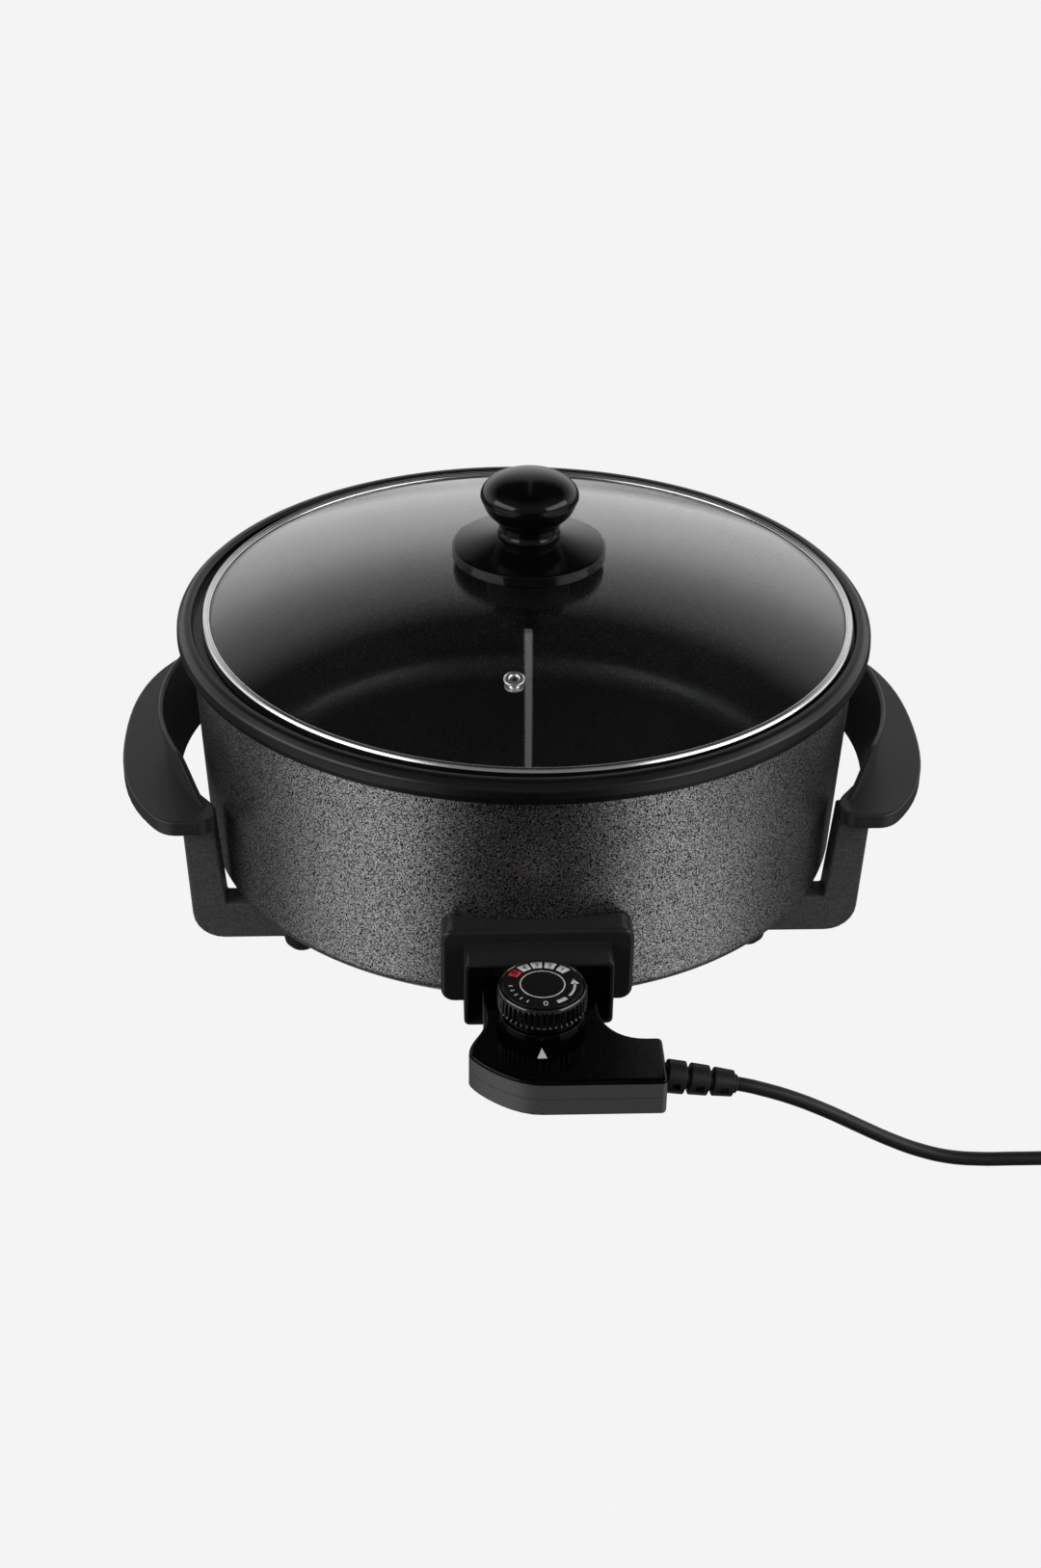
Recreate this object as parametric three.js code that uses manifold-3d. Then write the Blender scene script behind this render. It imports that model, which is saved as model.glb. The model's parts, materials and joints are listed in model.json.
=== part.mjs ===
// Electric griddle: a round cast pan on four moulded legs, a glass lid with a
// steel rim and a knob, and a plug-in thermostat controller with its mains lead.
// Millimetres, +Z up, the worktop at z = 0. The pan's axis is x = 0, y = 0 in
// the working frame; the whole appliance is then moved along Y so that the
// middle of its box, without the lead, is over the origin.
import * as THREE from 'three';
import { mergeVertices } from 'three/addons/utils/BufferGeometryUtils.js';
import Module from 'manifold-3d';

const wasm = await Module();
wasm.setup();

// ---------------------------------------------------------------- sizes
const GAP = 0.3; // left between parts that touch

const PAN = {
  bottom: 34, floor: 39, top: 177, corner: 10,
  baseR: 179, wallTopR: 185, rimR: 192.5, rimBottom: 163.5,
  seatR: 183.6, seatZ: 171.5, innerTopR: 177.6, innerBaseR: 174.5, innerCorner: 16,
};

const LID = {
  shiftX: 2, ringR: 180.6, ringInnerR: 176.2, ringBottom: 171.8, ringTop: 178,
  glassR: 179.4, edgeZ: 175.8, rise: 30.5, glass: 3.6,
};

const KNOB = {
  discR: 42.3, discBottom: 207, discEdge: 214.5, discTop: 221, seatR: 16,
  neckR: 17.4, neckTop: 227, capR: 26.9, capZ: 242.5, top: 256,
};

const WASHER = { radius: 23, bottom: 182.5, top: 202.7, recess: 12, recessR: 8, boreR: 3.4 };

const VENT = { x: -12.5, y: -116.5, radius: 5.6, hole: 2.2, glassHole: 4.4 };

const HANDLE = {
  plateBottom: 88, plateTop: 97, outer: 226.5, halfY: 97,
  shieldTop: 121, shieldBottom: 76, shieldMid: 206.5, shieldR: 145, shieldHalf: 83,
  shieldThick: 3.2, lean: 0.17, skirtHalf: 56,
};

const LEG = {
  bottom: 11, top: 34, y: 73.6, depth: 17.4, innerX: 108,
  outerTopX: 189, outerLowX: 185.8, gapTopX: 171.8, gapLowX: 167.4, cornerR: 17,
  screwX: 146, postX: 180,
};

const FOOT = { x: 126.5, radius: 10, flat: 6, height: 10.7, stemR: 3 };

const SHROUD = { halfX: 49.5, bottom: 45.5, top: 90, front: 192, wall: 2 };

const HOOD = { halfX: 38, bottom: 44.6, top: 83, front: 210.7, wall: 2 };

const PIN = { x: 13, z: 57.7, radius: 2 };

const TUBE = { radius: 3.25, ringR: 96, z: 30, riseY: 184.2, bend: 8 };

const BODY = {
  bottom: 47.2, split: 57.5, top: 68.2, neckHalf: 28.5, neckEnd: 199, front: 287.5,
  left: 36.9, right: 58.4, armBack: 252.9, wall: 2,
};

const CASE_SCREW = { spots: [[-24, -262], [48, -280], [0, -214]], sunk: 0.6, bossR: 3.4, top: 65.8 };

const DIAL = { y: 236, radius: 22.4, bottom: 75.9, top: 88.6, collarR: 18.6, stepR: 20.8, stepTop: 72 };

const CORD = { radius: 3.5, exitX: 94, exitY: 270, exitZ: 51.6 };

const COIL = { x: 312, y: -231, inner: 32, outer: 46, height: 14.2 };

const PLUG = { x: 350.5, start: -152, z: 18.6, bodyR: 18.5, length: 51, pinR: 2.4, pinLength: 19, pinX: 9.5 };

const SHIFT_Y = (BODY.front - PAN.rimR) / 2;

// ------------------------------------------------------------ materials
const material = (color, roughness, metalness = 0, more = {}) =>
  new THREE.MeshStandardMaterial({ color, roughness, metalness, ...more });

const HAMMERTONE = material(0x3c3d3f, 0.45, 0.3);
const BAKELITE = material(0x1a1a1b, 0.5);
const GLOSS = material(0x070708, 0.12);
const RUBBER = material(0x111112, 0.8);
const STEEL = material(0xb9bbbd, 0.25, 1);
const GLASS = material(0xb8c4c2, 0.03, 0, { transparent: true, opacity: 0.35 });
const PRINT = material(0x0c0c0d, 0.3);
const BRASS = material(0xb59a5a, 0.35, 1);
const CERAMIC = material(0xe6e2d8, 0.6);

// ------------------------------------------------------ solids and meshes
const appliance = new THREE.Group();
appliance.position.y = SHIFT_Y;

function addMesh(name, geometry, look) {
  const mesh = new THREE.Mesh(geometry, look);
  mesh.name = name;
  appliance.add(mesh);
  return mesh;
}

function toSolid(geometry) {
  const bare = geometry.clone();
  bare.deleteAttribute('normal');
  bare.deleteAttribute('uv');
  const merged = mergeVertices(bare, 1e-4);
  return new wasm.Manifold(new wasm.Mesh({
    numProp: 3,
    vertProperties: new Float32Array(merged.attributes.position.array),
    triVerts: new Uint32Array(merged.index.array),
  }));
}

function toGeometry(solid) {
  const mesh = solid.getMesh();
  const geometry = new THREE.BufferGeometry();
  geometry.setAttribute('position', new THREE.BufferAttribute(new Float32Array(mesh.vertProperties), 3));
  geometry.setIndex(new THREE.BufferAttribute(new Uint32Array(mesh.triVerts), 1));
  geometry.computeVertexNormals();
  return geometry;
}

function cut(geometry, ...tools) {
  return toGeometry(tools.reduce((solid, tool) => solid.subtract(toSolid(tool)), toSolid(geometry)));
}

function join(geometry, ...others) {
  return toGeometry(others.reduce((solid, other) => solid.add(toSolid(other)), toSolid(geometry)));
}

// A turned solid about the Z axis. Points are [radius, z] in order round the
// profile, which either starts and ends on the axis or closes on itself.
function turned(points, segments) {
  const profile = points.map(([radius, z]) => new THREE.Vector2(radius, z));
  if (THREE.ShapeUtils.isClockWise(profile)) profile.reverse();
  if (Math.min(...profile.map((p) => p.x)) > 0) profile.push(profile[0].clone());
  return new THREE.LatheGeometry(profile, segments).rotateX(Math.PI / 2);
}

function box(x0, x1, y0, y1, z0, z1) {
  return new THREE.BoxGeometry(x1 - x0, y1 - y0, z1 - z0)
    .translate((x0 + x1) / 2, (y0 + y1) / 2, (z0 + z1) / 2);
}

function post(x, y, z0, z1, radius, sides = 16) {
  return new THREE.CylinderGeometry(radius, radius, z1 - z0, sides)
    .rotateX(Math.PI / 2).translate(x, y, (z0 + z1) / 2);
}

// A rod along Y, from y0 to y1.
function rodY(x, z, y0, y1, radius, sides = 16) {
  return new THREE.CylinderGeometry(radius, radius, y1 - y0, sides).translate(x, (y0 + y1) / 2, z);
}

// A plate: an outline in the XY plane raised from z0 to z1.
function plate(shape, z0, z1, curveSegments = 5) {
  return new THREE.ExtrudeGeometry(shape, { depth: z1 - z0, bevelEnabled: false, curveSegments })
    .translate(0, 0, z0);
}

// An outline in the XZ plane, drawn as (x, z), made solid from y0 to y1.
function slabY(shape, y0, y1, curveSegments = 6) {
  return new THREE.ExtrudeGeometry(shape, { depth: y1 - y0, bevelEnabled: false, curveSegments })
    .rotateX(Math.PI / 2).translate(0, y1, 0);
}

function roundedBox(halfX, z0, z1, radius) {
  const shape = new THREE.Shape();
  shape.moveTo(-halfX + radius, z0);
  shape.absarc(halfX - radius, z0 + radius, radius, -Math.PI / 2, 0);
  shape.absarc(halfX - radius, z1 - radius, radius, 0, Math.PI / 2);
  shape.absarc(-halfX + radius, z1 - radius, radius, Math.PI / 2, Math.PI);
  shape.absarc(-halfX + radius, z0 + radius, radius, Math.PI, Math.PI * 1.5);
  return shape;
}

function arcPoints(cx, cy, radius, from, to, steps) {
  return Array.from({ length: steps + 1 }, (_, i) => {
    const angle = from + (to - from) * i / steps;
    return [cx + radius * Math.cos(angle), cy + radius * Math.sin(angle)];
  });
}

// A round bar along a smooth curve through the points.
function tube(points, radius, steps, sides = 8) {
  const section = new THREE.Shape();
  for (let i = 0; i < sides; i += 1) {
    const angle = 2 * Math.PI * i / sides;
    section[i ? 'lineTo' : 'moveTo'](radius * Math.cos(angle), radius * Math.sin(angle));
  }
  const path = new THREE.CatmullRomCurve3(points.map((p) => new THREE.Vector3(...p)), false, 'centripetal');
  return new THREE.ExtrudeGeometry(section, { steps, extrudePath: path, bevelEnabled: false });
}

// A screw: its head below or before its shank, along +Z from the origin.
function screw(headR, headH, shankR, length) {
  return turned([[0, 0], [headR * 0.8, 0], [headR, headH * 0.5], [headR, headH],
    [shankR, headH], [shankR, headH + length], [0, headH + length]], 8);
}

// ------------------------------------------------------------------ pan
function wallRadius(z) {
  const span = PAN.top - 13 - (PAN.bottom + PAN.corner);
  return PAN.baseR + (PAN.wallTopR - PAN.baseR) * (z - PAN.bottom - PAN.corner) / span;
}

function panProfile() {
  const { bottom, floor, top, corner, baseR, rimR, rimBottom, seatR, seatZ, innerBaseR, innerCorner } = PAN;
  return [
    [0, bottom],
    ...arcPoints(baseR - corner, bottom + corner, corner, -Math.PI / 2, 0, 3),
    [wallRadius(rimBottom), rimBottom],
    [rimR - 1.5, rimBottom + 2.4],
    [rimR, rimBottom + 6.5],
    [rimR - 1.3, top - 2.6],
    [rimR - 4.5, top],
    [seatR + 1.2, top],
    [seatR, top - 1.2],
    [seatR, seatZ],
    [PAN.innerTopR, seatZ],
    ...arcPoints(innerBaseR - innerCorner, floor + innerCorner, innerCorner, 0, -Math.PI / 2, 4),
    [0, floor],
  ];
}

function makePan() {
  const shell = toSolid(turned(panProfile(), 56));
  const bossOuter = [-1, 1].map((side) => rodY(side * 29, 75, -SHROUD.front + 4.5, -176, 4, 12));
  const bossHoles = [-1, 1].map((side) => rodY(side * 29, 75, -SHROUD.front + 3, -181, 2, 10));
  const legHoles = [];
  for (const sx of [-1, 1]) {
    for (const sy of [-1, 1]) {
      legHoles.push(post(sx * LEG.screwX, sy * LEG.y, PAN.bottom - 2, PAN.bottom + 3.6, 2, 10));
    }
  }
  const joined = bossOuter.reduce((solid, boss) => solid.add(toSolid(boss)), shell);
  const holes = [...bossHoles, ...legHoles];
  const done = holes.reduce((solid, hole) => solid.subtract(toSolid(hole)), joined);
  addMesh('pan_body', toGeometry(done), HAMMERTONE);
}

// -------------------------------------------------------- heating element
// A sheathed ring under the base. Its two ends run forward between the legs,
// turn up outside the wall and end behind the terminal pins.
function makeElement() {
  const { ringR, z, riseY, bend, radius } = TUBE;
  const open = Math.asin(PIN.x * 2 / ringR);
  const ring = arcPoints(0, 0, ringR, -Math.PI / 2 - open, -2.5 * Math.PI + open, 24);
  const turn = (side) => [
    [side * PIN.x, -ringR - 16, z],
    [side * PIN.x, -ringR - 40, z],
    [side * PIN.x, -riseY + bend, z],
    [side * PIN.x, -riseY + bend * 0.29, z + bend * 0.29],
    [side * PIN.x, -riseY, z + bend],
    [side * PIN.x, -riseY, PIN.z - 6],
    [side * PIN.x, -riseY - 1.8, PIN.z - 1.8],
    [side * PIN.x, -riseY - 6, PIN.z],
    [side * PIN.x, -SHROUD.front - 0.4, PIN.z],
  ];
  const points = [...turn(-1).reverse(), ...ring.map(([x, y]) => [x, y, z]), ...turn(1)];
  addMesh('heating_element', tube(points, radius, 84), STEEL);
  for (const [side, name] of [[-1, 'left'], [1, 'right']]) {
    const x = side * PIN.x;
    const pin = rodY(x, PIN.z, -SHROUD.front - 16, -SHROUD.front - 0.4 - GAP, PIN.radius, 12);
    addMesh(`terminal_pin_${name}`, pin, STEEL);
  }
  for (const [angle, name] of [[30, 'right'], [150, 'left']]) {
    const along = THREE.MathUtils.degToRad(angle);
    const strap = cut(
      box(-17, 17, -6, 6, z - radius - 2, PAN.bottom - GAP),
      box(-radius - 0.5, radius + 0.5, -7, 7, z - radius - 0.5, PAN.bottom),
      box(-20, -radius - 2.5, -7, 7, z - radius - 4, PAN.bottom - 2),
      box(radius + 2.5, 20, -7, 7, z - radius - 4, PAN.bottom - 2),
    );
    strap.rotateZ(along).translate(ringR * Math.cos(along), ringR * Math.sin(along), 0);
    addMesh(`element_clip_${name}`, strap, STEEL);
  }
}

// ------------------------------------------------- handles, legs and feet
// A flat grip plate, crescent shaped, with a leaning heat shield through its
// inner edge. It is held only by the two legs below it.
function handlePlateShape() {
  const { outer, halfY } = HANDLE;
  const shape = new THREE.Shape();
  shape.moveTo(-outer, 0);
  shape.bezierCurveTo(-outer, -34, -222, -62, -206.5, -85);
  shape.bezierCurveTo(-201, -93.5, -197, -halfY, -190, -halfY);
  shape.lineTo(-181, -halfY);
  shape.bezierCurveTo(-173, -halfY, -169.5, -91, -170, -84);
  shape.bezierCurveTo(-171, -78, -174, -74, -177, -70);
  shape.bezierCurveTo(-192, -50, -200, -28, -200.5, 0);
  shape.bezierCurveTo(-200, 28, -192, 50, -177, 70);
  shape.bezierCurveTo(-174, 74, -171, 78, -170, 84);
  shape.bezierCurveTo(-169.5, 91, -173, halfY, -181, halfY);
  shape.lineTo(-190, halfY);
  shape.bezierCurveTo(-197, halfY, -201, 93.5, -206.5, 85);
  shape.bezierCurveTo(-222, 62, -outer, 34, -outer, 0);
  return shape;
}

function shieldGeometry() {
  const { shieldMid, shieldR, shieldHalf, shieldThick, shieldTop, shieldBottom, lean } = HANDLE;
  const centre = -shieldMid + shieldR;
  const half = Math.asin(shieldHalf / shieldR);
  const outline = [
    ...arcPoints(centre, 0, shieldR, Math.PI - half, Math.PI + half, 12),
    ...arcPoints(centre, 0, shieldR - shieldThick, Math.PI + half, Math.PI - half, 12),
  ];
  const shape = new THREE.Shape(outline.map(([x, y]) => new THREE.Vector2(x, y)));
  const shield = plate(shape, shieldBottom, shieldTop);
  const position = shield.attributes.position;
  for (let i = 0; i < position.count; i += 1) {
    position.setX(i, position.getX(i) + lean * (shieldTop - position.getZ(i)));
  }
  const besideLegs = [-1, 1].map((side) => box(-220, -150, side < 0 ? -90 : HANDLE.skirtHalf,
    side < 0 ? -HANDLE.skirtHalf : 90, shieldBottom - 1, HANDLE.plateBottom));
  return cut(shield, ...besideLegs);
}

function makeHandles() {
  const { plateBottom, plateTop } = HANDLE;
  const holeTop = plateTop - 2.5;
  const screwHoles = [-1, 1].map((side) => post(-LEG.postX, side * LEG.y, plateBottom - 1, holeTop, 2, 10));
  const grip = plate(handlePlateShape(), plateBottom, plateTop);
  const left = cut(join(grip, shieldGeometry()), ...screwHoles);
  addMesh('handle_left', left, BAKELITE);
  addMesh('handle_right', left.clone().rotateZ(Math.PI), BAKELITE);
}

// One leg: a post below the handle that turns in under the pan.
function legShape() {
  const { bottom, top, innerX, outerTopX, outerLowX, gapTopX, gapLowX, cornerR } = LEG;
  const shape = new THREE.Shape();
  shape.moveTo(innerX, bottom);
  shape.lineTo(outerLowX - cornerR, bottom);
  shape.quadraticCurveTo(outerLowX - 1, bottom + 1, outerLowX, bottom + cornerR);
  shape.lineTo(outerTopX, HANDLE.plateBottom - GAP);
  shape.lineTo(gapTopX, HANDLE.plateBottom - GAP);
  shape.lineTo(gapLowX, top - GAP);
  shape.lineTo(innerX, top - GAP);
  return shape;
}

function makeLegs() {
  const { y, depth, screwX, postX, bottom } = LEG;
  const solid = slabY(legShape(), -depth / 2, depth / 2, 6);
  const shaped = cut(
    solid,
    post(postX, 0, 0, 72, 4.4, 12), post(postX, 0, 70, 90, 2.1, 8),
    post(screwX, 0, 0, 24, 4.6, 12), post(screwX, 0, 20, 36, 2.1, 8),
    post(FOOT.x, 0, 0, bottom + 10, 3.4, 10),
  );
  const footProfile = [[0, 0], [FOOT.flat, 0], [FOOT.flat + 2.4, 1], [FOOT.radius - 0.4, 3.6],
    [FOOT.radius, 6], [FOOT.radius, FOOT.height], [FOOT.stemR, FOOT.height],
    [FOOT.stemR, FOOT.height + 8], [0, FOOT.height + 8]];
  const handleScrew = screw(3.8, 2.4, 1.6, 16);
  const legScrew = screw(3.8, 2, 1.6, 12.8);
  for (const [sx, side] of [[-1, 'left'], [1, 'right']]) {
    for (const [sy, end] of [[-1, 'front'], [1, 'rear']]) {
      const turn = sx < 0 ? Math.PI : 0;
      const leg = shaped.clone().rotateZ(turn).translate(0, sy * y, 0);
      addMesh(`leg_${end}_${side}`, leg, BAKELITE);
      addMesh(`foot_${end}_${side}`, turned(footProfile, 14).translate(sx * FOOT.x, sy * y, 0), RUBBER);
      addMesh(`leg_screw_${end}_${side}`, legScrew.clone().translate(sx * screwX, sy * y, 21.5), STEEL);
      addMesh(`handle_screw_${end}_${side}`, handleScrew.clone().translate(sx * postX, sy * y, 69.6), STEEL);
    }
  }
}

// ----------------------------------------------------- terminal shroud
// A moulded cover on the lower wall, with a hood that the controller's neck
// plugs into. A steel plate behind it holds the terminals.
function makeShroud() {
  const { halfX, bottom, top, front, wall } = SHROUD;
  const outer = slabY(roundedBox(halfX, bottom, top, 7), -front, -168);
  const hoodOuter = slabY(roundedBox(HOOD.halfX, HOOD.bottom, HOOD.top, 3), -HOOD.front, -front + 1);
  const hoodHollow = roundedBox(HOOD.halfX - HOOD.wall, HOOD.bottom + HOOD.wall, HOOD.top - HOOD.wall, 2);
  const hoodInner = slabY(hoodHollow, -HOOD.front - 1, -front);
  const panSpace = turned([[0, 20], [wallRadius(20) + 0.6, 20], [wallRadius(100) + 0.6, 100], [0, 100]], 72);
  const cavity = box(-halfX + 6, halfX - 6, -front + wall, -150, bottom + 3, top - 4);
  const tubeGate = box(-20, 20, -front + wall, -150, bottom - 5, bottom + 10);
  const doorway = box(-22, 22, -front - 1, -front + 5, HOOD.bottom + HOOD.wall, 69);
  const screwHoles = [-1, 1].map((side) => rodY(side * 29, 75, -front - 1, -front + 4, 2, 10));
  const shroud = cut(join(outer, hoodOuter), hoodInner, panSpace, cavity, tubeGate, doorway, ...screwHoles);
  addMesh('terminal_shroud', shroud, BAKELITE);

  const plateHoles = [-1, 1].map((side) => rodY(side * PIN.x, PIN.z, -front, -front + 10, 5));
  const bracket = cut(
    box(-36, 36, -front + 2.4, -front + 4.2, 50, 83),
    ...plateHoles,
    ...[-1, 1].map((side) => rodY(side * PIN.x, 50, -front, -front + 10, 5)),
    rodY(0, PIN.z, -front, -front + 10, 5),
    ...[-1, 1].map((side) => rodY(side * 29, 75, -front, -front + 10, 2, 10)),
  );
  addMesh('terminal_bracket', bracket, STEEL);
  for (const [side, name] of [[-1, 'left'], [1, 'right']]) {
    const shroudScrew = screw(3.4, 2, 1.6, 9).rotateX(-Math.PI / 2);
    addMesh(`shroud_screw_${name}`, shroudScrew.translate(side * 29, -front - 2 - GAP, 75), STEEL);
  }
}

// ------------------------------------------------------------- controller
function bodyShape(inset = 0) {
  const neck = BODY.neckHalf - inset;
  const end = -BODY.neckEnd - inset;
  const left = -BODY.left + inset;
  const right = BODY.right - inset;
  const front = -BODY.front + inset;
  const armBack = -BODY.armBack - inset;
  const shape = new THREE.Shape();
  shape.moveTo(neck - 8, end);
  shape.lineTo(-neck + 8, end);
  shape.quadraticCurveTo(-neck, end, -neck, end - 8);
  shape.lineTo(-neck, -236);
  shape.bezierCurveTo(-neck, -248, left, -252, left, -263);
  shape.bezierCurveTo(left, -268, -18, front, -2, front);
  shape.lineTo(right - 3, front);
  shape.quadraticCurveTo(right, front, right, front + 3);
  shape.lineTo(right, armBack - 3);
  shape.quadraticCurveTo(right, armBack, right - 3, armBack);
  shape.lineTo(51, armBack);
  shape.bezierCurveTo(38, armBack, neck, -243, neck, -226);
  shape.lineTo(neck, end - 8);
  shape.quadraticCurveTo(neck, end, neck - 8, end);
  return shape;
}

function makeController() {
  const { bottom, split, top, wall, neckEnd, right } = BODY;
  const rearHoles = [
    rodY(0, PIN.z, -neckEnd - 6, -neckEnd + 3, 4.6),
    ...[-1, 1].map((side) => rodY(side * PIN.x, PIN.z, -neckEnd - 6, -neckEnd + 3, 4.6)),
  ];
  const cordHole = new THREE.CylinderGeometry(5.4, 5.4, 12, 16).rotateZ(Math.PI / 2)
    .translate(right, -CORD.exitY, split);
  const collar = join(
    post(0, -DIAL.y, top - 1, DIAL.bottom - GAP, DIAL.collarR, 32),
    post(0, -DIAL.y, top - 1, DIAL.stepTop, DIAL.stepR, 32),
  );
  const hollow = cut(
    join(plate(bodyShape(), split + GAP / 2, top), collar),
    plate(bodyShape(wall), split - 1, top - wall),
    post(0, -DIAL.y, top - 6, DIAL.bottom + 1, 4.2),
    ...rearHoles,
    cordHole,
  );
  const bosses = CASE_SCREW.spots.map(([x, y]) => post(x, y, split + GAP / 2, top - 1, CASE_SCREW.bossR, 10));
  const screwWays = CASE_SCREW.spots.map(([x, y]) => post(x, y, split - 1, CASE_SCREW.top, 1.9, 8));
  const upper = cut(join(hollow, ...bosses), ...screwWays);
  addMesh('controller_top', upper, GLOSS);
  const lower = cut(
    plate(bodyShape(), bottom, split - GAP / 2),
    plate(bodyShape(wall), bottom + wall, split + 1),
    ...rearHoles,
    cordHole,
    ...CASE_SCREW.spots.map(([x, y]) => post(x, y, bottom - 1, bottom + 4, 2.3, 10)),
  );
  addMesh('controller_bottom', lower, BAKELITE);
  CASE_SCREW.spots.forEach(([x, y], i) => {
    addMesh(`case_screw_${i + 1}`, screw(2, 1.4, 1.5, 16).translate(x, y, bottom + CASE_SCREW.sunk), STEEL);
  });

  addMesh('thermostat_switch', box(-12, 12, -262, -224, bottom + wall + GAP, 64.5), CERAMIC);
  const probe = turned([[0, 0], [3.2, 0], [4, 1], [4, 22], [0, 22]], 16).rotateX(Math.PI / 2)
    .translate(0, -182.6, PIN.z);
  addMesh('probe_tube', probe, STEEL);
  for (const [side, name] of [[-1, 'left'], [1, 'right']]) {
    const socket = rodY(side * PIN.x, PIN.z, -214, -190, PIN.radius + 0.4, 12);
    const sleeve = cut(rodY(side * PIN.x, PIN.z, -222, -195, 4), socket);
    addMesh(`contact_sleeve_${name}`, sleeve, BRASS);
  }

  const gland = [
    [0, -1], [5, -1], [5, 0], [8.4, 0.4], [8.4, 7], [7.3, 8.4], [7.3, 11], [8, 12.4], [7.8, 18.6],
    [6.6, 20], [6.6, 22.4], [7.2, 23.8], [6.4, 34.6], [CORD.radius + 0.4, 36], [0, 36]];
  const drop = Math.atan2(split - CORD.exitZ, CORD.exitX - right);
  const relief = turned(gland.map(([r, z]) => [r, z + 1]), 20).rotateY(Math.PI / 2 + drop)
    .translate(right + GAP, -CORD.exitY, split);
  addMesh('strain_relief', relief, RUBBER);
}

function makeDial() {
  const { y, radius, bottom, top } = DIAL;
  const knob = turned([[5, bottom], [radius - 1, bottom], [radius, bottom + 1.2], [radius, top - 2.6],
    [radius - 1.4, top - 0.4], [radius - 2.2, top - 0.4], [radius - 2.2, top - 1], [5, top - 1]], 36);
  addMesh('thermostat_dial', knob.translate(0, -y, 0), GLOSS);
  const face = turned([[0, top - 1 + GAP], [radius - 2.5, top - 1 + GAP], [radius - 2.5, top], [0, top]], 32);
  addMesh('dial_face', face.translate(0, -y, 0), PRINT);
  addMesh('dial_spindle', post(0, -y, 64.5 + GAP, top - 1.1, 3.6), STEEL);
}

// -------------------------------------------------------------------- lid
function domeZ(radius) {
  const { edgeZ, rise, glassR } = LID;
  const sphere = (glassR ** 2 + rise ** 2) / (2 * rise);
  return edgeZ + rise - sphere + Math.sqrt(sphere ** 2 - radius ** 2);
}

function makeLid() {
  const { glassR, glass, ringR, ringInnerR, ringBottom, ringTop, shiftX } = LID;
  const radii = [4, 45, 90, 125, 155, glassR - 1.2];
  const above = radii.map((r) => [r, domeZ(r)]);
  const below = [...radii].reverse().map((r) => [r, domeZ(r) - glass + 0.4]);
  const vent = post(VENT.x, VENT.y, 180, 210, VENT.glassHole, 12);
  const glassLid = cut(turned([...above, ...below], 48), vent);
  const edge = glassR - 1.2;
  const groove = [[edge + GAP, domeZ(edge) + 0.3], [edge + GAP, domeZ(edge) - glass - 0.1]];
  const ring = turned([
    [ringInnerR, domeZ(ringInnerR) + GAP], [ringInnerR + 1.4, ringTop], [ringR - 1.4, ringTop],
    [ringR, ringTop - 1.6], [ringR, ringBottom + 1], [ringR - 1, ringBottom], [ringInnerR, ringBottom],
    [ringInnerR, domeZ(ringInnerR) - glass + 0.4 - GAP], groove[1], groove[0],
  ], 48);

  const { discR, discBottom, discEdge, discTop, seatR, neckR, neckTop, capR, capZ, top } = KNOB;
  const discSeat = domeZ(0) + GAP;
  const { boreR } = WASHER;
  const disc = turned([
    [boreR, discSeat], [seatR, discSeat], [seatR + 2, discBottom + 1], [discR - 2, discBottom],
    [discR, discBottom + 1], [discR, discEdge - 1], [discR - 1, discEdge], [neckR + 2, discTop - GAP],
    [boreR, discTop - GAP],
  ], 32);
  const cap = Array.from({ length: 5 }, (_, i) => {
    const angle = Math.PI / 2 * i / 4;
    return [capR * Math.cos(angle), capZ + (top - capZ) * Math.sin(angle)];
  });
  cap[4][0] = 0;
  const grip = cut(
    turned([[0, discTop], [neckR, discTop], [neckR - 0.8, discTop + 2], [neckR, neckTop],
      [capR - 3.2, neckTop + 8], [capR - 0.4, capZ - 1.6], ...cap], 28),
    post(0, 0, discTop - 1, discTop + 16, 2.8),
  );
  const recessTop = WASHER.bottom + WASHER.recess;
  const washer = turned([
    [boreR, WASHER.top], [WASHER.radius, WASHER.top - 1], [WASHER.radius, WASHER.bottom + 1.6],
    [WASHER.radius - 1.6, WASHER.bottom], [WASHER.recessR, WASHER.bottom], [WASHER.recessR, recessTop],
    [boreR, recessTop],
  ], 24);
  const boltHead = 3;
  const bolt = screw(6, boltHead, 2.3, 34).translate(0, 0, recessTop - boltHead - GAP);
  const ventZ = domeZ(Math.hypot(VENT.x, VENT.y));
  const eyelet = turned([[VENT.hole, -6], [5, -6], [5, -5.2], [3, -5], [3, GAP * 2], [VENT.radius, GAP * 2],
    [VENT.radius - 0.6, 1.6], [VENT.hole + 0.8, 1.6], [VENT.hole, 1]], 16);

  const pieces = [
    ['lid_glass', glassLid, GLASS], ['lid_rim', ring, STEEL], ['knob_disc', disc, GLOSS],
    ['lid_knob', grip, GLOSS], ['lid_washer', washer, BAKELITE], ['knob_bolt', bolt, STEEL],
  ];
  for (const [name, geometry, look] of pieces) {
    addMesh(name, geometry, look).position.x = shiftX;
  }
  const lidVent = addMesh('steam_vent', eyelet, STEEL);
  lidVent.position.set(shiftX + VENT.x, VENT.y, ventZ + 0.7);
  lidVent.rotation.x = Math.asin(-VENT.y / 527);
}

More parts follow.
